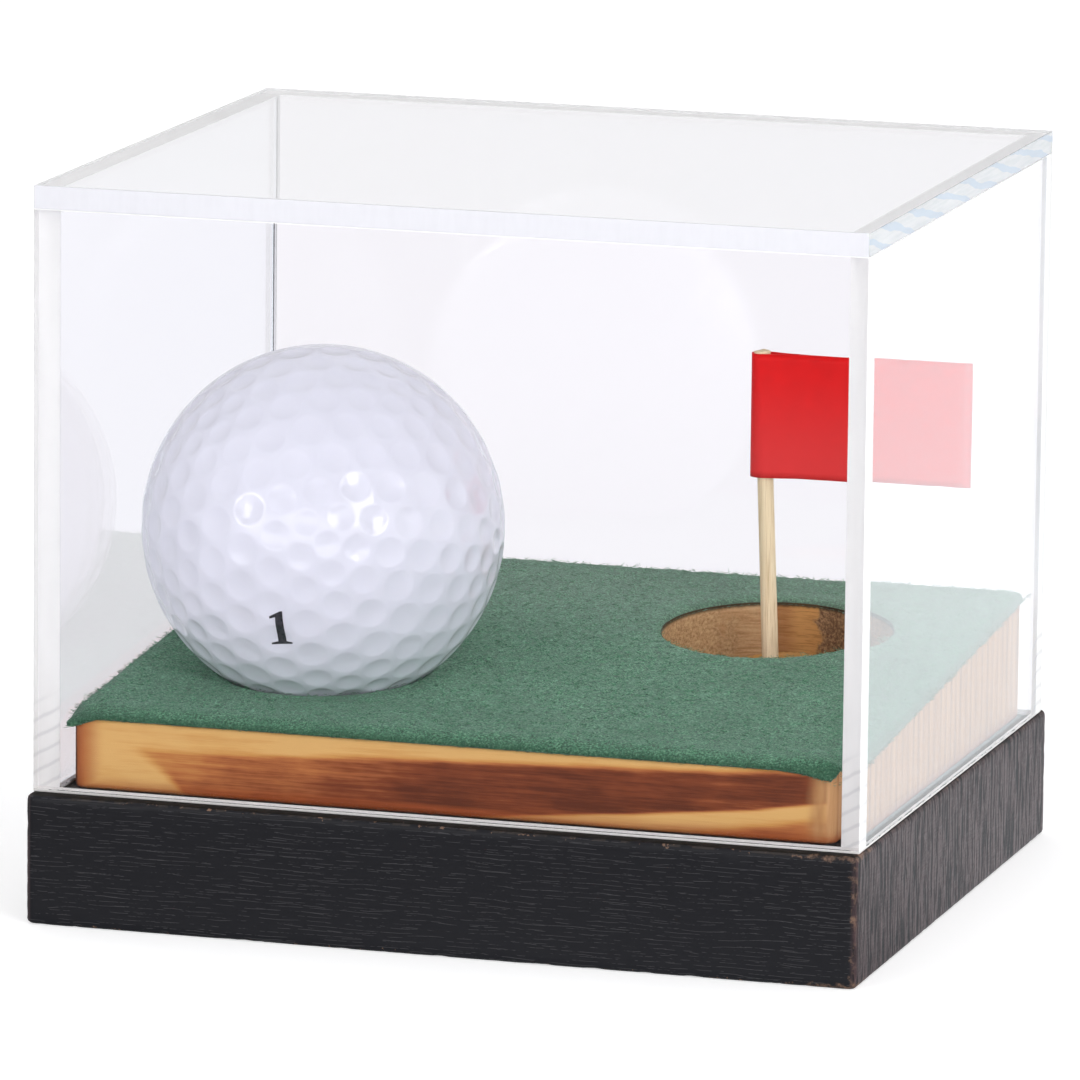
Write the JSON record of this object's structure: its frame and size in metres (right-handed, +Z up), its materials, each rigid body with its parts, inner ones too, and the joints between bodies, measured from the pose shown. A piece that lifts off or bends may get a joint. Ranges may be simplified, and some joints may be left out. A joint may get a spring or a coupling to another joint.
{
  "type": "golf ball display case",
  "caption": "Clear lift-off box cover on a black plinth, over a sloping wooden block with a felt green, a golf ball resting in its seat and a small flag standing in a cup.",
  "frame": {"origin": "middle of the plinth's underside, on the surface that the case stands on", "axes": "+X right along the long side, -Y out of the front, +Z up"},
  "size_m": [0.1, 0.088, 0.0866],
  "materials": {
    "black_board": "satin",
    "scorched_pine": "matte",
    "green_felt": "matte",
    "ball_white": "gloss",
    "ball_core": "matte",
    "bamboo": "satin",
    "red_paper": "satin",
    "clear_acrylic": "polished"
  },
  "bodies": {
    "base": {"plinth": "black_board", "wedge_block": "scorched_pine", "felt_turf": "green_felt", "flag_stick": "bamboo", "flag": "red_paper"},
    "cover": {"cover_top": "clear_acrylic", "cover_front": "clear_acrylic", "cover_back": "clear_acrylic", "cover_left": "clear_acrylic", "cover_right": "clear_acrylic"},
    "ball": {"golf_ball_skin": "ball_white", "golf_ball_core": "ball_core"}
  },
  "joints": [
    {"name": "cover_lift", "type": "slide", "parent": "base", "child": "cover", "axis": [0, 0, 1], "range_m": [0, 0.06]},
    {"name": "ball_lift", "type": "slide", "parent": "base", "child": "ball", "axis": [0, 0, 1], "range_m": [0, 0.015]}
  ]
}
